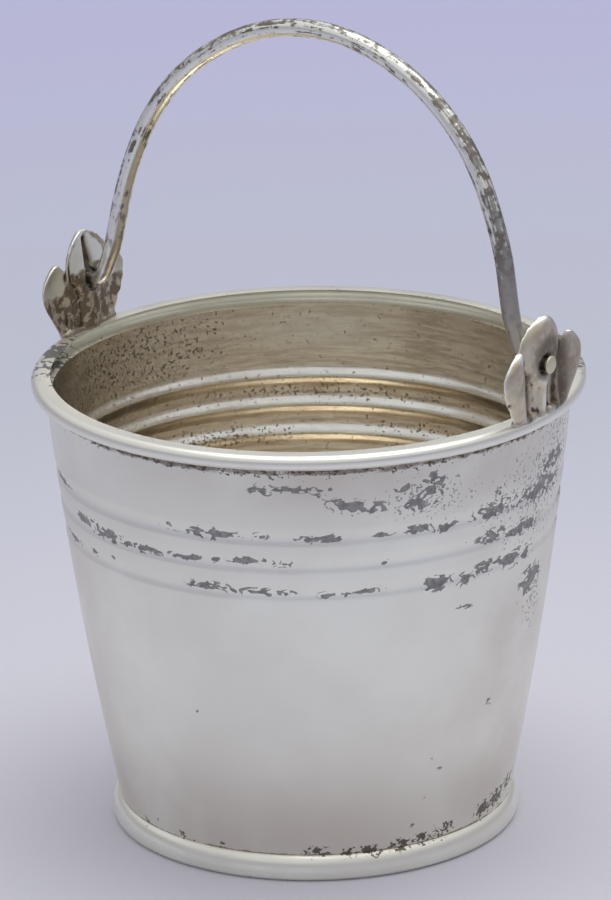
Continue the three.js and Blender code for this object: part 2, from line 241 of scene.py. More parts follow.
class CreamPailFinish(bpy.types.PropertyGroup):
    """Colours and gloss of the silver and its toning; some colours also paint shade and highlights
    """

    # silver is also laid inside the pail as a painted highlight on the grooves
    silver: colour("Silver", "Clean satin silver", (0.94, 0.945, 0.86))
    dull_silver: colour("Dull silver", "Silver under a thin film", (0.87, 0.86, 0.78))
    # brown also paints shade down the left and right sides of the wall
    brown: colour("Brown toning", "Warm toning under the rim and at the foot", (0.71, 0.66, 0.585))
    gold: colour("Gold toning", "Toning inside the pail", (0.94, 0.89, 0.77))
    # umber also lays the dark line along each groove, which is partly painted shade
    umber: colour("Umber", "Dark toning inside the pail", (0.68, 0.60, 0.50))
    # this grey also paints shade on the rim by the ears and on the handle
    oxide: colour("Oxide", "Grey fire stain in the grooves", (0.26, 0.26, 0.25))
    cast: colour("Cast silver", "Pale yellow-grey of the cast ears", (0.72, 0.65, 0.49))
    dull_cast: colour("Dull cast silver", "Cast silver under a film", (0.54, 0.47, 0.35))
    # bronze also paints shade on the ears, under the rim, over the foot and on the handle
    bronze: colour("Bronze", "Old polish in the hollows of the ears", (0.11, 0.08, 0.055))
    satin: share("Satin", "Roughness of the outside", 0.4)
    polish: share("Polish", "Roughness of the rim and handle", 0.3)


class CreamPailStage(bpy.types.PropertyGroup):
    """Table, light and camera"""

    camera_azimuth: angle("Azimuth", "Camera's turn round the pail", 34)
    camera_pan: angle("Pan", "Camera's turn off the pail's axis", 0.04)
    camera_pitch: angle("Pitch", "How far the camera looks down", 18.93)
    camera_roll: angle("Roll", "Camera's tilt about its own line of sight", -0.96)
    camera_away: length("Away", "Camera's distance along the floor", 784.1)
    camera_height: length("Height", "Camera's height over the floor", 314.2)
    lens: FloatProperty(name="Lens", description="Focal length, mm", default=280, min=1)
    # Painted light: the card round the foot is made lighter against the pail's own shadow
    lit_near_floor: colour("Near floor", "Card round the foot", (0.68, 0.67, 0.73))
    floor: colour("Floor", "Card a little way off", (0.53, 0.545, 0.62))
    far_floor: colour("Far floor", "Card behind the pail", (0.54, 0.534, 0.755))
    room: colour("Room", "The card where it turns up", (0.6, 0.59, 0.58))
    table_radius: length("Table", "Radius of the flat of the card", 1000)
    card_bend: length("Card bend", "Radius of the bend where the card turns up", 350)
    card_height: length("Card height", "How high the card turns up", 550)
    lamp_turn: angle("Lamp turn", "Softbox's turn round the pail from the camera", 122)
    lamp_away: length("Lamp away", "Softbox's distance from the pail's axis", 100)
    lamp_height: length("Lamp height", "Softbox's height over the table", 720)
    lamp_aim: length("Lamp aim", "Height that the softbox points at", 45)
    lamp_width: length("Lamp width", "Width of the round softbox", 660)
    lamp_power: FloatProperty(name="Lamp power", description="Watts", default=2.2, min=0)
    room_light: colour("Room light", "Light from all round", (0.86, 0.87, 0.92))
    room_level: share("Room level", "Strength of the light from all round", 0.76)


def sizes():
    return bpy.context.scene.cream_pail_sizes


def finishes():
    return bpy.context.scene.cream_pail_finish


def staging():
    return bpy.context.scene.cream_pail_stage


# Shared shapes
def lerp(low, high, along):
    return low + (high - low) * along


def held(value):
    """The value, kept from 0 to 1."""
    return min(1, max(0, value))


def smooth_between(value, low, high):
    along = held((value - low) / (high - low))
    return along * along * (3 - 2 * along)


def bump_at(offset, half_width):
    """1 in the middle of a soft bump, falling away on both sides."""
    return math.exp(-((offset / half_width) ** 2))


def through(stops, along):
    """A smooth curve through (place, value) stops."""
    places = [place for place, _ in stops]
    values = [value for _, value in stops]
    k = max(0, min(len(stops) - 2, sum(along >= place for place in places) - 1))
    before, after = max(0, k - 1), min(len(stops) - 1, k + 2)
    span = places[k + 1] - places[k]
    rise = (values[k + 1] - values[before]) / (places[k + 1] - places[before]) * span
    fall = (values[after] - values[k]) / (places[after] - places[k]) * span
    t = held((along - places[k]) / span)
    return (
        values[k] * (1 + 2 * t) * (1 - t) ** 2
        + rise * t * (1 - t) ** 2
        + values[k + 1] * t * t * (3 - 2 * t)
        - fall * t * t * (1 - t)
    )


def arc(middle, radius, start, end, steps):
    """Points on an arc in the (radius, height) plane, angles in degrees."""
    points = []
    for k in range(steps + 1):
        turn = math.radians(lerp(start, end, k / steps))
        points.append((middle[0] + radius * math.cos(turn), middle[1] + radius * math.sin(turn)))
    return points


def linked(name, data):
    """A new object in the scene."""
    made = bpy.data.objects.new(name, data)
    bpy.context.scene.collection.objects.link(made)
    return made


def scratch_object(name, work):
    mesh = bpy.data.meshes.new(name)
    for face in work.faces:
        face.smooth = True
    work.to_mesh(mesh)
    work.free()
    return linked(name, mesh)


def piece(name, work, node, body):
    """Turns a finished bmesh into an object that stands for a CAD node."""
    made = scratch_object(name, work)
    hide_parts(node)
    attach(made, body)
    return made


def spun(line, steps, closed):
    """A line of (radius, height) points, spun about the pail's axis."""
    work = bmesh.new()
    verts = [work.verts.new((radius, 0, height)) for radius, height in line]
    nexts = verts[1:] + verts[:1] if closed else verts[1:]
    edges = [work.edges.new(pair) for pair in zip(verts, nexts)]
    bmesh.ops.spin(
        work, geom=verts + edges, cent=(0, 0, 0), axis=(0, 0, 1),
        angle=FULL_TURN, steps=steps, use_merge=True,
    )
    bmesh.ops.remove_doubles(work, verts=work.verts, dist=0.001 * MM)
    bmesh.ops.recalc_face_normals(work, faces=work.faces)
    return work


def turned(loop):
    """A closed section turned about the pail's axis, with its true corners kept sharp."""
    work = spun(loop, sizes().turn_steps, closed=True)
    corner = math.radians(40)
    for edge in work.edges:
        edge.smooth = edge.calc_face_angle(0) < corner
    return work


def swept(places, sides):
    """A unit circle carried from place to place, with a cap at each end."""
    work = bmesh.new()
    bmesh.ops.create_circle(work, cap_ends=True, radius=1, segments=sides, matrix=places[0])
    ring = list(work.edges)
    for before, after in zip(places, places[1:]):
        grown = bmesh.ops.extrude_edge_only(work, edges=ring)["geom"]
        verts = [part for part in grown if isinstance(part, bmesh.types.BMVert)]
        bmesh.ops.transform(work, matrix=after @ before.inverted(), verts=verts)
        fresh = set(verts)
        ring = [
            part for part in grown
            if isinstance(part, bmesh.types.BMEdge) and set(part.verts) <= fresh
        ]
    bmesh.ops.edgeloop_fill(work, edges=ring)
    bmesh.ops.recalc_face_normals(work, faces=work.faces)
    return work


def lofted(steps, sides, section):
    """A unit circle swept through sections, each asked for by its share of the way."""
    return swept([section(k / steps) for k in range(steps + 1)], sides)


def ellipse(middle, half_x, half_y):
    """What carries a unit circle to a level ellipse at a place."""
    return Matrix.Translation(middle) @ Matrix.Diagonal((half_x, half_y, 1, 1))


def smoothed(work, rounds):
    for _ in range(rounds):
        bmesh.ops.smooth_vert(
            work, verts=work.verts, factor=0.5, use_axis_x=True, use_axis_y=True, use_axis_z=True
        )


def hand_worked(work):
    """Moves a turned piece a little inside its true round, as raising by hand leaves it."""
    size = sizes()
    for vert in work.verts:
        outward = Vector((vert.co.x, vert.co.y, 0))
        if outward.length > MM:
            drawn_up = Vector((outward.x, outward.y, vert.co.z * 0.6))
            slow = noise.noise(drawn_up / size.wobble_span)
            vert.co -= outward.normalized() * size.hand_wobble * (0.5 + 0.5 * slow)
    return work


def paint(work, **rules):
    """Keeps a share from 0 to 1 at each vertex, by its rule, for the finishes to read."""
    for name, rule in rules.items():
        layer = work.verts.layers.float.new(name)
        for vert in work.verts:
            vert[layer] = held(rule(vert.co))


def closeness(place, marks):
    """How near a place is to the middle of one of the marks: 1 in it, 0.5 at its edge."""
    turn, height = math.degrees(math.atan2(place.x, -place.y)), place.z / MM
    beyond = 3
    nearest = beyond ** 2
    for middle, level, half_turn, half_height in marks:
        up = (height - level) / half_height
        if abs(up) < beyond:
            across = ((turn - middle + 180) % 360 - 180) / half_turn
            nearest = min(nearest, across * across + up * up)
    return math.exp(-0.69 * nearest)


def from_axis(place):
    return math.hypot(place.x, place.y)


# Wall and base
def taper_radius(height):
    """Outside radius of the plain taper."""
    size = sizes()
    low, high = box("body_wall")[0].z, box_top("body_wall")
    along = (height - low) / (high - low)
    swell = size.wall_swell * (1 - (2 * along - 1) ** 2)
    return lerp(size.wall_foot_radius, box_radius("body_wall"), along) + swell


def groove_heights():
    size = sizes()
    first = box_top("rim_wire") - size.groove_drop
    return [first - k * size.groove_pitch for k in range(3)]


def up_groove(height):
    """How far up the nearest groove a height lies: 0 at its lower edge, 1 at its upper one."""
    ups = [(height - middle) / sizes().groove_width + 0.5 for middle in groove_heights()]
    return min(ups, key=lambda up: abs(up - 0.5))


def groove_dip(height, shape):
    """How far a rolled groove goes in, with a steep lower side and a long upper one."""
    return sizes().groove_depth * max(0, through(shape, held(up_groove(height))))


def outer_radius(height):
    return taper_radius(height) - groove_dip(height, WORN_GROOVE)


def inner_radius(height):
    return taper_radius(height) - groove_dip(height, GROOVE_SHAPE) - sizes().sheet


def bulge_top(height):
    """Share of the upper half of a groove, where a highlight is painted inside the pail."""
    up = up_groove(height)
    return smooth_between(up, 0.4, 0.55) * (1 - smooth_between(up, 0.85, 1))


def in_band(away, band):
    """1 up to where a band of dirt is full, 0 past where it ends."""
    return 1 - smooth_between(away, *band)


def groove_line(height):
    """Share of the dark line along the lower edge of each groove: partly dirt, partly painted
    shade.
    """
    line_up = 0.1
    return in_band(sizes().groove_width * abs(up_groove(height) - line_up), GROOVE_LINE)


def end_seams(height, rim_band, foot_band):
    """Shares of a band at the soldered seams under the rim and over the foot: the haze bands are
    dirt with painted shade, the crust bands dirt.
    """
    low, high = box("body_wall")[0].z, box_top("body_wall")
    return in_band(high - height, rim_band), in_band(height - low, foot_band)


def wall_heights(plain_step, groove_step):
    low, high = box("body_wall")[0].z, box_top("body_wall")
    grooves = groove_heights()
    reach = 0.6 * sizes().groove_width
    spans = (
        (low, grooves[-1] - reach, plain_step),
        (grooves[-1] - reach, grooves[0] + reach, groove_step),
        (grooves[0] + reach, high, plain_step),
    )
    heights = []
    for start, end, step in spans:
        count = round((end - start) / step)
        heights += [lerp(start, end, k / count) for k in range(count)]
    return heights + [high]


def build_wall():
    size = sizes()
    outer_heights = wall_heights(size.plain_step, size.groove_step)
    inner_heights = wall_heights(2 * size.plain_step, 1.25 * size.groove_step)
    outside = [(outer_radius(height), height) for height in outer_heights]
    inside = [(inner_radius(height), height) for height in reversed(inner_heights)]
    work = turned(outside + inside)

    def inner_side(place):
        middle = (outer_radius(place.z) + inner_radius(place.z)) / 2
        return float(from_axis(place) < middle)

    def oxide(place):
        return max(closeness(place, GROOVE_OXIDE), closeness(place, PLAIN_OXIDE))

    def crust(place):
        at_rim, at_foot = end_seams(place.z, RIM_CRUST, FOOT_CRUST)
        return max(closeness(place, FOOT_OXIDE), 0.78 * at_rim, 0.6 * at_foot)

    def speckled(place):
        return closeness(place, INNER_SPECKS if inner_side(place) else SPECKLED)

    # Outside: toning near the rim and the foot, and painted shade down the left and right sides.
    # Inside: darker toning in patches.
    def toned(place):
        if inner_side(place):
            return closeness(place, INNER_DUSK)
        return max(closeness(place, TONED), 0.95 * closeness(place, SIDE_SHADE))

    # Inside: clean patches, and a painted highlight on the upper half of each groove
    def cleaned(place):
        return inner_side(place) * max(closeness(place, INNER_CLEAN), 0.8 * bulge_top(place.z))

    paint(
        work, inside=inner_side, oxide=oxide, crust=crust, speckled=speckled, toned=toned,
        cleaned=cleaned, groove_line=lambda place: groove_line(place.z),
        end_seam=lambda place: max(end_seams(place.z, RIM_HAZE, FOOT_HAZE)),
    )
    return piece("pail_wall", hand_worked(work), "body_wall", "pail")


def build_base():
    """The base disc, let in with a slight dish."""
    low, high = box("base_disc")
    radius = high.y
    top = [
        (radius * along, high.z - sizes().base_dish * math.cos(along * QUARTER_TURN))
        for along in (0, 0.2, 0.4, 0.6, 0.8, 0.92)
    ]
    work = turned(top + [(radius, high.z), (radius, low.z), (radius * 0.5, low.z), (0, low.z)])
    paint(work, inside=lambda place: 1)
    return piece("pail_base", work, "base_disc", "pail")


# Mouldings
def build_foot():
    """The moulded ring: one full roll from its flat underside up to the wall."""
    size = sizes()
    high = box("foot_ring")[1]
    top, proud = high.z, high.y - size.wall_foot_radius
    inner = size.wall_foot_radius - size.sheet - size.foot_ledge
    steps = 32
    roll = []
    for k in range(steps + 1):
        rise = 0.5 - 0.5 * math.cos(k / steps * math.pi)
        roll.append((size.wall_foot_radius + proud * through(FOOT_ROLL, rise), rise * top))
    ledge = [(inner, top), (inner, size.foot_chamfer)]
    work = turned([(inner + size.foot_chamfer, 0)] + roll + ledge)
    paint(
        work,
        crust=lambda place: closeness(place, FOOT_OXIDE),
        toned=lambda place: 0.5 * smooth_between(place.z, 0.5 * top, 0.95 * top),
    )
    return piece("pail_foot", hand_worked(work), "foot_ring", "pail")


def build_rim():
    """The rim wire: round outside, dressed down to meet the wall inside."""
    size = sizes()
    low, high = box("rim_wire")
    outer, wire = high.y, (high.z - low.z) / 2
    inner = taper_radius(low.z) - size.sheet
    bead = arc((outer - wire, low.z + wire), wire, -90, 90, 22)
    across, deep, steps = outer - wire - inner, 1.6 * wire, 14
    shoulder = [
        (inner + across * math.cos(turn), high.z - deep + deep * math.sin(turn))
        for turn in (k / steps * QUARTER_TURN for k in range(steps - 1, -1, -1))
    ]
    work = turned(bead + shoulder + [(inner, low.z)])

    def inner_flank(place):
        return in_band(from_axis(place) - inner, (0.15 * MM, 0.9 * MM))

    # A dark joint along the underside of the wire where it meets the wall, with painted shade under
    # the wire; by the ears, stain that is partly painted shade
    def oxide(place):
        low_edge = in_band(place.z - low.z, (0, 0.35 * MM))
        seam = 0.8 * low_edge * smooth_between(from_axis(place), outer - wire, outer - 0.5 * wire)
        return max(seam, 0.72 * closeness(place, RIM_STAIN_AND_EAR_SHADE))

    paint(
        work,
        oxide=oxide,
        toned=lambda place: max(0.8 * inner_flank(place), 0.3),
        speckled=lambda place: 0.1 + 0.6 * inner_flank(place),
    )
    return piece("pail_rim", hand_worked(work), "rim_wire", "pail")


# Ears
def rim_middle():
    """From the pail's axis to the middle of the rim wire."""
    return box_radius("rim_wire") - (box_top("rim_wire") - box_top("body_wall")) / 2


def ear_middle(height):
    """From the pail's axis to the middle of the leaning ear at a height."""
    base = box_top("rim_wire")
    return rim_middle() + sizes().ear_lean * (height - base) / (box_top("right_ear") - base)


def leaf(outline, height, crown):
    """A flat blade swept up to its outline, then bowed, cupped inside and leaned outwards."""
    size = sizes()
    base = box_top("rim_wire")
    half_sheet, least_half = size.leaf_sheet / 2, 0.1 * MM

    def blade(up):
        near, far = outline(up)
        return ellipse((0, (near + far) / 2, base + height * up), half_sheet, (far - near) / 2)

    work = lofted(36, 48, blade)
    for vert in work.verts:
        x, y, z = vert.co
        up = (z - base) / height
        near, far = outline(up)
        half = max((far - near) / 2, least_half)
        across = (y - (near + far) / 2) / half
        side = x / half_sheet
        full = max(0, 1 - across * across)
        bow = crown(half) * (full - 0.5) + size.ear_flare * (y / size.ear_spread) ** 2
        cup = 0.5 * half_sheet * full if side < 0 else 0
        curl = size.tip_curl * max(0, 2 * up - 1) ** 2
        thick = side * half_sheet * math.sqrt(lerp(0.35, 1, full))
        vert.co.x = ear_middle(z) + bow + thick + cup - curl
    return work


def crown(most, full_half):
    """How far a leaf bows by half of its width: less where it narrows."""
    return lambda half: most * min(1, half / full_half) ** 0.85


def rib():
    """The rounded rib inside the middle leaf, full up to the hole and fading below the tip."""
    size = sizes()

    def bar(along):
        up = along * RIB_WIDTH[-1][0]
        height = lerp(box_top("rim_wire"), box_top("right_ear"), up)
        deep = size.rib_depth * through(RIB_DEPTH, up)
        middle = (ear_middle(height) - 0.35 * deep, 0, height)
        return ellipse(middle, 0.65 * deep, size.rib_half * through(RIB_WIDTH, up))

    return lofted(32, 32, bar)


def middle_outline(up):
    half = sizes().leaf_half * through(MIDDLE_LEAF_EDGE, up)
    return -half, half


def side_outline(side):
    def edges(up):
        spread = sizes().ear_spread
        near, far = spread * through(SIDE_LEAF_NEAR, up), spread * through(SIDE_LEAF_FAR, up)
        return (near, far) if side > 0 else (-far, -near)

    return edges


def pivot_height():
    return frame["joints"][0]["pos_m"][2]


def hole_place():
    """Middle of the hole in the leaf, with +Z out through the right-hand ear."""
    x = ear_middle(pivot_height()) + sizes().leaf_crown / 4
    return Matrix.Translation((x, 0, pivot_height())) @ Matrix.Rotation(QUARTER_TURN, 4, "Y")


def web():
    """The thin sheet between the stem and the side leaves, set back behind them."""
    size = sizes()

    def strip(up):
        height = box_top("rim_wire") + 0.72 * size.ear_side_height * up
        half = size.ear_foot_half * lerp(0.8, 0.6, up)
        return ellipse((ear_middle(height) - size.web_back, 0, height), size.web_half, half)

    return lofted(16, 32, strip)


def saddle():
    """A low run of solder along the rim that ties the feet of the leaves together."""
    reach, base = sizes().ear_foot_half, box_top("rim_wire")
    half_width, half_height, lump = 0.85 * MM, 0.6 * MM, 1.1 * MM

    def run(along):
        y = lerp(-reach, reach, along)
        uneven = 1 + 0.25 * noise.noise(Vector((0, y, 0)) / lump)
        end = uneven * math.sqrt(max(0.15, 1 - (y / reach) ** 4))
        place = Matrix.Translation((ear_middle(base), y, base))
        upright = place @ Matrix.Rotation(QUARTER_TURN, 4, "X")
        return upright @ Matrix.Diagonal((half_width * end, half_height * end, 1, 1))

    return lofted(32, 20, run)


def on_ear(place):
    """A place on the ear as millimetres across and millimetres up from the hole."""
    return place.y / MM, (place.z - pivot_height()) / MM


def outer_relief(place):
    """How far the outer face sinks: the hole's dimple with its rough lip, flutes and pits."""
    size = sizes()
    across, up = on_ear(place)
    away = math.hypot(up, across)
    ring = size.dimple_radius / MM
    dimple = size.dimple_depth / MM * in_band(away, (0.7 * ring, 1.15 * ring))
    low_side = smooth_between(-(across + up) / max(away, 0.1), 0.5, 1.3)
    lip_height, lip_radius, lip_half = 0.14, 1.35 * ring, 0.35
    lip = lip_height * low_side * bump_at(away - lip_radius, lip_half)
    flute_depth, flute_across, flute_half = 0.2, 0.9, 0.4
    stem = held(-up - 1.8)
    flutes = flute_depth * stem * bump_at(abs(across) - flute_across, flute_half)
    pits = sum(
        depth * bump_at(math.hypot(across - pit_across, up - pit_up), radius)
        for pit_across, pit_up, radius, depth in EAR_PITS
    )
    return (dimple - lip + flutes + pits) * MM


def crease(place):
    """How far the inner face is cut: a crease that widens from the tip down to the hole."""
    across, up = on_ear(place)
    width = lerp(1.5, 0.5, held(up / 4.8))
    fade = smooth_between(up, -0.4, 0.8) * (1 - smooth_between(up, 4.6, 5.4))
    return sizes().crease_depth * fade * in_band(abs(across), (0.3 * width, width))


def bake_modifiers(made):
    """Puts a piece's modifiers into its mesh."""
    graph = bpy.context.evaluated_depsgraph_get()
    mesh = bpy.data.meshes.new_from_object(made.evaluated_get(graph))
    made.modifiers.clear()
    made.data = mesh


def cast_ear():
    """Leaves, rib and solder run together as one casting, then bored for the pin."""
    size = sizes()
    full_height = box_top("right_ear") - box_top("rim_wire")
    middle_crown = crown(size.leaf_crown, size.leaf_half)
    side_crown = crown(size.side_crown, size.ear_spread / 3)
    sides = [leaf(side_outline(side), size.ear_side_height, side_crown) for side in (1, -1)]
    middle = leaf(middle_outline, full_height - size.tip_room, middle_crown)
    shapes = [middle, *sides, rib(), web(), saddle()]
    join = bmesh.new()
    for shape in shapes:
        part = bpy.data.meshes.new("ear_part")
        shape.to_mesh(part)
        shape.free()
        join.from_mesh(part)
        bpy.data.meshes.remove(part)
    made = scratch_object("ear_casting", join)
    cast = made.modifiers.new("cast", "REMESH")
    cast.mode = "VOXEL"
    cast.voxel_size = size.casting_grid
    bake_modifiers(made)
    work = bmesh.new()
    work.from_mesh(made.data)
    edge_on, coarse, fine = 0.2, 0.9 * MM, 0.35 * MM
    for vert in work.verts:
        if vert.normal.x > edge_on:
            vert.co.x -= outer_relief(vert.co)
        elif vert.normal.x < -edge_on:
            vert.co.x += crease(vert.co)
        grain = noise.noise(vert.co / coarse) + 0.5 * noise.noise(vert.co / fine)
        vert.co += vert.normal * grain * size.casting_grain
    smoothed(work, 8)
    work.to_mesh(made.data)
    work.free()
    bore = bmesh.new()
    bmesh.ops.create_cone(
        bore, cap_ends=True, segments=48, radius1=size.hole_radius, radius2=size.hole_radius,
        depth=7 * size.hole_radius, matrix=hole_place(),
    )
    drill = scratch_object("ear_drill", bore)
    cut = made.modifiers.new("bore", "BOOLEAN")
    cut.operation = "DIFFERENCE"
    cut.solver = "MANIFOLD"
    cut.object = drill
    bake_modifiers(made)
    bpy.data.objects.remove(drill)
    return made


def pushed_by_smoothing(work, rounds):
    """How far heavy smoothing would push each vertex out: over 0 in a hollow, under on an edge."""
    before = [(vert.co.copy(), vert.normal.copy()) for vert in work.verts]
    smoothed(work, rounds)
    pushes = [(vert.co - start).dot(normal) for vert, (start, normal) in zip(work.verts, before)]
    for vert, (start, _) in zip(work.verts, before):
        vert.co = start
    return pushes


def old_polish_and_shade(place):
    """Share of the brown outside: old polish on the leaves, and painted shade round the hole and in
    the valleys between the leaves.
    """
    across, up = on_ear(place)
    uneven = 1 + 0.35 * noise.noise(place / (0.8 * MM))
    # Painted shade round the hole, with old polish
    round_hole = math.exp(-(math.hypot(across / 2.8, (up - 0.9) / 3.2) ** 4) * uneven)
    # Painted shade in the valleys between the stem and the side leaves
    valley = bump_at(abs(across) - 2.9, 0.75) * in_band(up, (-1.2, 0.4))
    far_leaf = lerp(1, 0.5, smooth_between(across, 3.8, 5.2)) * smooth_between(across, 3.2, 3.7)
    smudge = 0.5 * bump_at(across + 5.5, 1.2) * bump_at(up + 1.2, 1.3)
    return max(round_hole, valley, far_leaf, smudge)


def at_hole(place):
    """1 on the edge and the inside of the hole, 0 away from it."""
    away = math.hypot(place.y, place.z - pivot_height())
    return in_band(away - sizes().hole_radius, HOLE_BAND)


def lining(place):
    """Share of the rough brown lining low on the inner face."""
    across, up = on_ear(place)
    edge = lerp(1.4, -1.2, smooth_between(abs(across), 3, 5))
    ragged, soft = 0.7 * noise.noise(place / (1.2 * MM)), 0.3
    return in_band(up + ragged, (edge - soft, edge + soft))


def build_ears():
    size = sizes()
    base, full_push = box_top("rim_wire"), 0.1 * MM
    casting = cast_ear()
    for name, node, turn in (("pail_ear_right", "right_ear", 0), ("pail_ear_left", "left_ear", 1)):
        work = bmesh.new()
        work.from_mesh(casting.data)
        bmesh.ops.recalc_face_normals(work, faces=work.faces)
        pushes = pushed_by_smoothing(work, 40)
        work.normal_update()
        names = ("hollow", "worn", "lined", "clean", "grime_and_shade")
        hollow, worn, lined, clean, grime_and_shade = (work.verts.layers.float.new(layer) for layer in names)
        for vert, push in zip(work.verts, pushes):
            vert[hollow] = held(push / full_push)
            vert[worn] = held(-push / full_push)
            facing_in = smooth_between(-vert.normal.x, 0.1, 0.6)
            # Painted shade along the crease, standing for the dark reflection of the handle's wire
            creased = facing_in * crease(vert.co) / size.crease_depth
            # Painted shade in the hole and on its edge, with some dirt
            bored = at_hole(vert.co)
            soldered = 0.6 * in_band(vert.co.z - base, SOLDER_BAND)
            vert[lined] = facing_in * lining(vert.co)
            vert[clean] = facing_in * (1 - lining(vert.co)) * (1 - max(creased, bored))
            outside = old_polish_and_shade(vert.co) * (1 - facing_in)
            vert[grime_and_shade] = max(outside, creased, bored, soldered)
        half_turns = Matrix.Rotation(turn * math.pi, 3, "Z")
        bmesh.ops.rotate(work, verts=work.verts, cent=(0, 0, 0), matrix=half_turns)
        piece(name, work, node, "pail")
    bpy.data.objects.remove(casting)


# Handle
def bail_stations():
    """The right half of the handle from its head to the top: x, rise, radius, turn of each."""
    size = sizes()
    face = box("bail")[1].x - 0.01 * MM
    stations = [(face - back * MM, 0, size.pin_head * share_of, 0) for back, share_of in PIN_HEAD]
    stations.append((face - 0.65 * MM, 0, size.pin_radius, 0))
    bow = []
    bend = size.pin_bend
    foot_rise = bend * (1 - math.cos(size.pin_bend_turn))
    bow_steps, bend_steps = 96, 12
    for k in range(bow_steps + 1):
        along = (k / bow_steps) ** 1.6
        turn = along * QUARTER_TURN
        x = size.bow_half * through(BOW_SPAN, along) * math.cos(turn)
        rise = foot_rise + (size.bow_reach - foot_rise) * math.sin(turn)
        bow.append((x, rise, size.wire_radius * lerp(0.85, 1, smooth_between(along, 0, 0.08))))
    foot_x, _, foot_radius = bow[0]
    bend_x = foot_x + bend * math.sin(size.pin_bend_turn)
    for k in range(bend_steps + 1):
        turn = k / bend_steps * size.pin_bend_turn
        radius = lerp(size.pin_radius, foot_radius, smooth_between(k, 0, bend_steps))
        stations.append((bend_x - bend * math.sin(turn), bend * (1 - math.cos(turn)), radius, turn))
    past = bow + [(-bow[-2][0], bow[-2][1], bow[-2][2])]
    for k in range(1, len(bow)):
        x, rise, radius = bow[k]
        slope = math.atan2(past[k + 1][1] - past[k - 1][1], past[k + 1][0] - past[k - 1][0])
        stations.append((x, rise, radius, math.pi - slope))
    return stations


def build_bail():
    size = sizes()
    half = bail_stations()
    other = [(-x, rise, radius, -turn) for x, rise, radius, turn in half[-2::-1]]
    lean = Matrix.Translation((0, 0, pivot_height())) @ Matrix.Rotation(-size.bow_lean, 4, "X")
    sides = 28
    # A noise vector starts from the clock unless it is seeded
    noise.seed_set(1)
    places, along = [], [0]
    for x, rise, radius, turn in half + other:
        stray = noise.noise_vector(Vector((x, rise, 0)) / size.stray_span) * size.bow_stray
        above_pins = smooth_between(rise, 0, 4 * MM)
        middle = Matrix.Translation(Vector((x, 0, rise)) + stray * above_pins)
        section = Matrix.Rotation(turn - QUARTER_TURN, 4, "Y")
        places.append(lean @ middle @ section @ Matrix.Scale(radius, 4))
        if len(places) > 1:
            step = places[-1].translation - places[-2].translation
            along.append(along[-1] + step.length)
    work = swept(places, sides)
    names = ("along", "outward", "backward")
    layers = [work.verts.layers.float.new(name) for name in names]
    for k, vert in enumerate(work.verts):
        spoke = (places[k // sides].inverted() @ vert.co).normalized()
        for layer, value in zip(layers, (along[k // sides] / along[-1], spoke.x, spoke.y)):
            vert[layer] = value
    return piece("pail_bail", work, "bail", "handle")


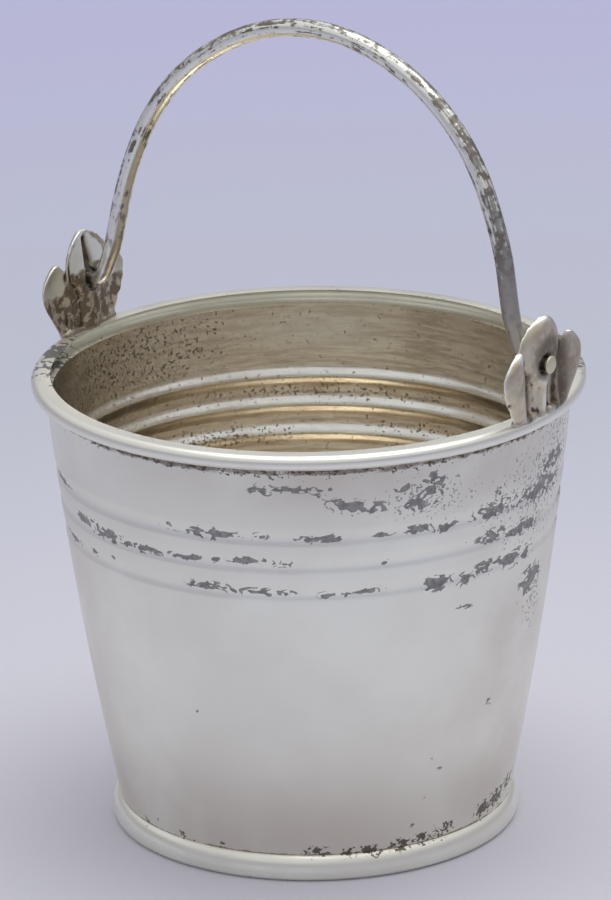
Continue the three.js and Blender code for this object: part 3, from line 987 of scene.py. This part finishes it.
# Finishes
class Finish:
    """A material under construction: its nodes are made and wired by short calls."""

    def __init__(self, name):
        self.material = bpy.data.materials.new(name)
        self.material.use_nodes = True
        self.tree = self.material.node_tree
        self.shader = self.tree.nodes["Principled BSDF"]
        self.place = self.node("ShaderNodeTexCoord").outputs["Object"]

    def node(self, kind, inputs=None, **settings):
        made = self.tree.nodes.new(kind)
        for key, value in settings.items():
            setattr(made, key, value)
        for key, value in (inputs or {}).items():
            self.feed(made.inputs[key], value)
        return made

    def feed(self, socket, value):
        if isinstance(value, bpy.types.NodeSocket):
            self.tree.links.new(value, socket)
        elif socket.type == "RGBA":
            socket.default_value = (*value, 1)
        else:
            socket.default_value = value

    def math(self, operation, *values, clamp=False):
        made = self.node("ShaderNodeMath", operation=operation, use_clamp=clamp)
        for socket, value in zip(made.inputs, values):
            self.feed(socket, value)
        return made.outputs[0]

    def plus(self, base, amount, factor):
        return self.math("MULTIPLY_ADD", amount, factor, base)

    def times(self, *values):
        product = values[0]
        for value in values[1:]:
            product = self.math("MULTIPLY", product, value, clamp=True)
        return product

    def stretched(self, scale):
        """Object coordinates, drawn out along some axes."""
        return self.node("ShaderNodeMapping", {"Vector": self.place, "Scale": scale}).outputs[0]

    def noise(self, where, scale, detail=4, roughness=0.55, distortion=0):
        inputs = {
            "Vector": where, "Scale": scale, "Detail": detail, "Roughness": roughness,
            "Distortion": distortion,
        }
        return self.node("ShaderNodeTexNoise", inputs).outputs["Fac"]

    def ramp(self, value, low, high, to_low=0, to_high=1):
        """A smooth step from one value to another."""
        inputs = {
            "Value": value, "From Min": low, "From Max": high, "To Min": to_low, "To Max": to_high,
        }
        return self.node("ShaderNodeMapRange", inputs, interpolation_type="SMOOTHSTEP").outputs[0]

    def mix(self, amount, first, second):
        made = self.node("ShaderNodeMix", data_type="RGBA")
        for k, value in ((0, amount), (6, first), (7, second)):
            self.feed(made.inputs[k], value)
        return made.outputs[2]

    def over(self, base, colour, *shares):
        """A colour laid over another by the product of some shares."""
        return self.mix(self.times(*shares), base, colour)

    def attribute(self, name):
        return self.node("ShaderNodeAttribute", attribute_name=name).outputs["Fac"]

    def bump(self, height, distance):
        inputs = {"Height": height, "Strength": 1, "Distance": distance}
        return self.node("ShaderNodeBump", inputs).outputs[0]

    def oxide_mask(self):
        """Ragged islands and short worm-like bits of fire stain, drawn out round the pail."""
        amount = self.attribute("oxide")
        where = self.stretched((1, 1, 1.7))
        ragged = self.noise(where, 640, detail=1.6, roughness=0.55, distortion=0.2)
        edge = 0.012
        level = self.plus(ragged, amount, 0.47)
        islands = self.ramp(level, 0.86, 0.86 + edge)
        winding = self.noise(where, 500, detail=1.2, distortion=0.4)
        off_line = self.math("ABSOLUTE", self.math("SUBTRACT", winding, 0.5))
        width = self.math("MULTIPLY", amount, 0.1)
        line = self.ramp(self.math("SUBTRACT", width, off_line), 0, edge)
        broken = self.ramp(self.noise(where, 700, detail=2), 0.42, 0.46)
        worms = self.times(line, broken, self.ramp(amount, 0.25, 0.45))
        return self.math("MAXIMUM", islands, worms)

    def speck_mask(self, amount):
        """Fine single dots."""
        dots = self.noise(self.place, 2300, detail=2)
        return self.ramp(self.plus(dots, amount, 0.26), 0.8, 0.84)

    def crust_mask(self):
        """Clumps of fine dark specks, as dirt gathers along a seam."""
        dots = self.noise(self.stretched((1, 1, 1.3)), 1700, detail=3, roughness=0.6)
        return self.ramp(self.plus(dots, self.attribute("crust"), 0.5), 0.9, 0.93)

    def finish(self, **inputs):
        for key, value in inputs.items():
            self.feed(self.shader.inputs[key.replace("_", " ").title()], value)
        return self.material

    def metal(self, colour, gloss, grain):
        return self.finish(base_color=colour, roughness=gloss, metallic=1.0, normal=grain)


def wall_finish():
    """Satin outside with grey fire stain and some painted shade, warm gold and umber inside with
    painted highlights.
    """
    look = finishes()
    made = Finish("wall_silver")
    cloudy = made.noise(made.place, 45)
    streaks = made.noise(made.stretched((1, 1, 9)), 170, detail=8, roughness=0.66)
    fine = made.noise(made.place, 1500, detail=3)
    inside, toned = made.attribute("inside"), made.attribute("toned")
    bare = made.math("SUBTRACT", 1, inside)

    clean = made.mix(made.ramp(cloudy, *PATCHES), look.silver, look.dull_silver)
    # Brown on the outside: toning near the rim and the foot, and painted shade down the left and
    # right sides
    outside = made.over(clean, look.brown, toned, made.ramp(cloudy, 0.3, 0.6, 0.45, 1))
    # Umber line along the lower edge of each groove: partly dirt, partly painted shade
    uneven = made.ramp(cloudy, 0.45, 0.6, 0, 0.4)
    outside = made.over(outside, look.umber, made.attribute("groove_line"), uneven)
    # Bronze haze under the rim wire and over the foot: dirt, with painted shade where the wall
    # meets them
    ragged = made.noise(made.stretched((1, 1, 2)), 420, detail=5, roughness=0.6)
    dirt = made.ramp(made.plus(made.attribute("end_seam"), ragged, 1.3), 1.3, 1.6)
    outside = made.over(outside, look.bronze, dirt, 0.7)
    warm = made.mix(made.ramp(streaks, 0.4, 0.62), look.gold, look.umber)
    # Silver inside: clean patches, and a painted highlight on the upper half of each groove
    warm = made.over(warm, look.silver, made.attribute("cleaned"), 0.8)
    warm = made.over(warm, look.umber, toned, made.ramp(fine, *PATCHES, 0.3, 0.9))
    metal = made.mix(inside, outside, warm)

    stain = made.times(made.oxide_mask(), bare)
    inner_dots = made.times(inside, 0.55)
    dots = made.speck_mask(made.math("MAXIMUM", made.attribute("speckled"), inner_dots))
    metal = made.over(metal, made.mix(inside, look.oxide, look.bronze), dots, 0.75)
    metal = made.over(metal, look.oxide, stain, made.ramp(fine, *PATCHES, 0.8, 1))
    metal = made.over(metal, look.bronze, made.crust_mask(), bare, 0.9)

    gloss = made.ramp(made.noise(made.place, 160), 0.3, 0.7, look.satin * 0.9, look.satin * 1.1)
    gloss = made.plus(gloss, inside, -0.17)
    gloss = made.plus(gloss, stain, 0.1)
    height = made.plus(streaks, fine, 0.15)
    height = made.math("MULTIPLY", height, made.ramp(inside, 0, 1, 0.3, 1))
    grain = made.bump(height, 0.02 * MM)
    return made.metal(metal, gloss, grain)


def moulded_finish():
    """Silver, dull in patches, warm and specked beside the seams."""
    look = finishes()
    made = Finish("moulded_silver")
    cloudy = made.noise(made.place, 70)
    clean = made.mix(made.ramp(cloudy, *PATCHES), look.silver, look.dull_silver)
    metal = made.over(clean, look.gold, made.attribute("toned"), 0.75)
    dots = made.speck_mask(made.attribute("speckled"))
    metal = made.over(metal, look.oxide, dots, 0.8)
    # On the rim this grey stain also lays painted shade by the ears and under the wire
    metal = made.over(metal, look.oxide, made.oxide_mask())
    metal = made.over(metal, look.bronze, made.crust_mask(), 0.9)
    gloss = made.ramp(cloudy, 0.3, 0.7, look.polish * 0.8, look.polish * 1.3)
    gloss = made.plus(gloss, made.attribute("toned"), 0.15)
    grain = made.bump(made.noise(made.place, 400, detail=3), 0.01 * MM)
    return made.metal(metal, gloss, grain)


def cast_finish():
    """Cast silver: bright on worn edges, old polish dried brown in the hollows and low inside, and
    painted shade in and round the hole, in the valleys and along the crease.
    """
    look = finishes()
    made = Finish("cast_silver")
    cloudy = made.noise(made.place, 210, detail=3)
    mottled = made.noise(made.place, 900, detail=5, roughness=0.65)
    metal = made.mix(made.ramp(cloudy, *PATCHES), look.cast, look.dull_cast)
    worn = made.ramp(made.attribute("worn"), 0.25, 0.9)
    clean = made.math("MAXIMUM", made.attribute("clean"), worn)
    metal = made.mix(clean, metal, look.silver)
    grime_and_shade = made.attribute("grime_and_shade")
    rough = made.math("MAXIMUM", made.attribute("lined"), grime_and_shade)
    rough = made.times(rough, made.ramp(mottled, 0.35, 0.6, 0.7, 1))
    # This brown also holds painted shade round the hole, in the valleys and along the crease
    dirt = made.math("MAXIMUM", rough, made.ramp(made.attribute("hollow"), 0.1, 0.6))
    pale = made.times(made.ramp(mottled, 0.44, 0.58), made.ramp(grime_and_shade, 0.2, 0.8, 1, 0.1))
    metal = made.mix(dirt, metal, made.mix(pale, look.bronze, look.umber))
    gloss = made.ramp(dirt, 0, 1, 0.38, 0.5)
    grain = made.bump(mottled, made.ramp(dirt, 0, 1, 0.01 * MM, 0.06 * MM))
    return made.metal(metal, gloss, grain)


def wire_finish():
    """Drawn wire: bright, with dark pits and streaks that run along it, and painted shade low on
    the right arm and along the outer side.
    """
    look = finishes()
    made = Finish("wire_silver")
    outward = made.attribute("outward")
    inputs = {
        "X": made.math("MULTIPLY", made.attribute("along"), 14),
        "Y": made.math("MULTIPLY", outward, 2),
        "Z": made.math("MULTIPLY", made.attribute("backward"), 2),
    }
    wound = made.node("ShaderNodeCombineXYZ", inputs).outputs[0]
    streaks = made.noise(wound, 1.7, detail=6, roughness=0.66)
    pits = made.noise(made.place, 950, detail=4, roughness=0.6)
    parts = made.node("ShaderNodeSeparateXYZ", {"Vector": made.place}).outputs
    sideways, high = parts["X"], parts["Z"]
    # Painted shade: the lower right arm made darker, standing for the dark reflections it shows
    low_down = made.ramp(high, 64 * MM, 84 * MM, 0.46, 0.05)
    right_arm = made.times(made.ramp(sideways, 10 * MM, 24 * MM), low_down)
    tarnish_and_shade = made.plus(right_arm, made.ramp(streaks, *PATCHES), 0.35)
    tarnish_and_shade = made.plus(tarnish_and_shade, made.ramp(pits, *PATCHES), 0.3)
    # Painted shade: the outer side of the wire made darker
    tarnish_and_shade = made.plus(tarnish_and_shade, made.ramp(outward, 0.1, 0.7), 0.2)
    dark = made.ramp(tarnish_and_shade, 0.42, 0.56)
    clean = made.mix(made.ramp(streaks, *PATCHES), look.silver, look.dull_silver)
    brownish = made.mix(made.ramp(pits, 0.44, 0.6), look.oxide, look.bronze)
    metal = made.over(clean, brownish, dark, 0.85)
    ends = made.ramp(high, 62 * MM, 76 * MM, 0.75, 0)
    metal = made.over(metal, look.brown, ends, made.ramp(pits, 0.35, 0.6))
    far_out = made.math("ABSOLUTE", sideways)
    metal = made.mix(made.ramp(far_out, 30.4 * MM, 31 * MM, 0, 0.8), metal, look.bronze)
    metal = made.mix(made.ramp(far_out, 33.2 * MM, 33.35 * MM), metal, look.cast)
    gloss = made.ramp(dark, 0, 1, look.polish, 0.45)
    grain = made.bump(made.plus(pits, dark, -0.5), 0.02 * MM)
    return made.metal(metal, gloss, grain)


def card_finish():
    """Pale card, painted lighter round the foot against the pail's own shadow, cooler and darker
    away from it.
    """
    look = staging()
    made = Finish("pale_card")
    inputs = {0: made.place, 1: (1, 1, 0)}
    flat = made.node("ShaderNodeVectorMath", inputs, operation="MULTIPLY").outputs[0]
    away = made.node("ShaderNodeVectorMath", {0: flat}, operation="LENGTH").outputs["Value"]
    tone = made.mix(made.ramp(away, 0.02, 0.18), look.lit_near_floor, look.floor)
    tone = made.mix(made.ramp(away, 0.15, 0.42), tone, look.far_floor)
    tone = made.mix(made.ramp(away, 0.6, 1.3), tone, look.room)
    return made.finish(base_color=tone, roughness=0.9)


def dress(names, material):
    for name in names:
        bpy.data.objects[name].data.materials.clear()
        bpy.data.objects[name].data.materials.append(material)


# Stage
def card(name, line):
    """A round of pale card, from its section."""
    work = spun(line, 96, closed=False)
    if min(face.normal.z for face in work.faces) < -0.5:
        bmesh.ops.reverse_faces(work, faces=work.faces)
    made = scratch_object(name, work)
    return made


def build_table():
    """A round table, and round it a turned-up card that only the metal sees."""
    look = staging()
    wide, bend = look.table_radius, look.card_bend
    card("table", [(0, 0), (0.1 * wide, 0), (0.4 * wide, 0), (wide, 0)])
    rise = arc((wide, bend), bend, -80, 0, 8)
    turned_up = card("surround", rise + [(wide + bend, look.card_height)])
    turned_up.visible_camera = False


def round_pail(turn, distance, height):
    """A place round the pail: 0 is the camera's side, positive to its right."""
    turn += staging().camera_azimuth
    return Vector((distance * math.sin(turn), -distance * math.cos(turn), height))


def build_light():
    """One round softbox overhead, in a softly lit room."""
    look = staging()
    lamp = bpy.data.lights.new("overhead_softbox", "AREA")
    lamp.shape = "DISK"
    lamp.size = look.lamp_width
    lamp.energy = look.lamp_power
    softbox = linked("overhead_softbox", lamp)
    softbox.location = round_pail(look.lamp_turn, look.lamp_away, look.lamp_height)
    aim = Vector((0, 0, look.lamp_aim)) - softbox.location
    softbox.rotation_euler = aim.to_track_quat("-Z", "Y").to_euler()
    world = bpy.data.worlds.new("soft_room")
    world.use_nodes = True
    bpy.context.scene.world = world
    background = world.node_tree.nodes["Background"]
    background.inputs["Color"].default_value = (*look.room_light, 1)
    background.inputs["Strength"].default_value = look.room_level


def build_camera():
    look = staging()
    data = bpy.data.cameras.new("camera")
    data.lens = look.lens
    camera = linked("camera", data)
    turn = (
        Matrix.Rotation(look.camera_azimuth + look.camera_pan, 4, "Z")
        @ Matrix.Rotation(QUARTER_TURN - look.camera_pitch, 4, "X")
        @ Matrix.Rotation(look.camera_roll, 4, "Z")
    )
    place = round_pail(0, look.camera_away, look.camera_height)
    camera.matrix_world = Matrix.Translation(place) @ turn
    bpy.context.scene.camera = camera


# Operators
class CREAMPAIL_OT_stage(bpy.types.Operator):
    """Lay the table, set the light and place the camera"""

    bl_idname = "cream_pail.stage"
    bl_label = "Stage"

    def execute(self, context):
        build_camera()
        build_table()
        dress(["table", "surround"], card_finish())
        build_light()
        context.scene.view_settings.view_transform = "Standard"
        return {"FINISHED"}


class CREAMPAIL_OT_body(bpy.types.Operator):
    """Raise the wall with its rolled grooves and let in the base"""

    bl_idname = "cream_pail.body"
    bl_label = "Wall and base"

    def execute(self, context):
        build_wall()
        build_base()
        dress(["pail_wall", "pail_base"], wall_finish())
        return {"FINISHED"}


class CREAMPAIL_OT_mouldings(bpy.types.Operator):
    """Solder on the rim wire and the foot ring"""

    bl_idname = "cream_pail.mouldings"
    bl_label = "Rim and foot"

    def execute(self, context):
        build_rim()
        build_foot()
        dress(["pail_rim", "pail_foot"], moulded_finish())
        return {"FINISHED"}


class CREAMPAIL_OT_ears(bpy.types.Operator):
    """Cast the two leaf ears and stand them on the rim"""

    bl_idname = "cream_pail.ears"
    bl_label = "Ears"

    def execute(self, context):
        build_ears()
        dress(["pail_ear_right", "pail_ear_left"], cast_finish())
        return {"FINISHED"}


class CREAMPAIL_OT_bail(bpy.types.Operator):
    """Bend the handle and hang it in the ears"""

    bl_idname = "cream_pail.bail"
    bl_label = "Handle"

    def execute(self, context):
        build_bail()
        dress(["pail_bail"], wire_finish())
        return {"FINISHED"}


class CREAMPAIL_PT_panel(bpy.types.Panel):
    """Lists the pail's pieces"""

    bl_idname = "CREAMPAIL_PT_panel"
    bl_label = "Cream Pail"
    bl_space_type = "VIEW_3D"
    bl_region_type = "UI"
    bl_category = "Cream Pail"

    def draw(self, context):
        for operator in OPERATORS:
            self.layout.operator(operator.bl_idname)


OPERATORS = (
    CREAMPAIL_OT_stage,
    CREAMPAIL_OT_body,
    CREAMPAIL_OT_mouldings,
    CREAMPAIL_OT_ears,
    CREAMPAIL_OT_bail,
)
GROUPS = {
    "cream_pail_sizes": CreamPailSizes,
    "cream_pail_finish": CreamPailFinish,
    "cream_pail_stage": CreamPailStage,
}
CLASSES = (*GROUPS.values(), *OPERATORS, CREAMPAIL_PT_panel)


def register():
    for made in CLASSES:
        bpy.utils.register_class(made)
    for name, group in GROUPS.items():
        setattr(bpy.types.Scene, name, PointerProperty(type=group))


def unregister():
    for name in GROUPS:
        delattr(bpy.types.Scene, name)
    for made in reversed(CLASSES):
        bpy.utils.unregister_class(made)


def main():
    register()
    bpy.ops.cream_pail.stage()
    bpy.ops.cream_pail.body()
    bpy.ops.cream_pail.mouldings()
    bpy.ops.cream_pail.ears()
    bpy.ops.cream_pail.bail()


if __name__ == "__main__":
    main()
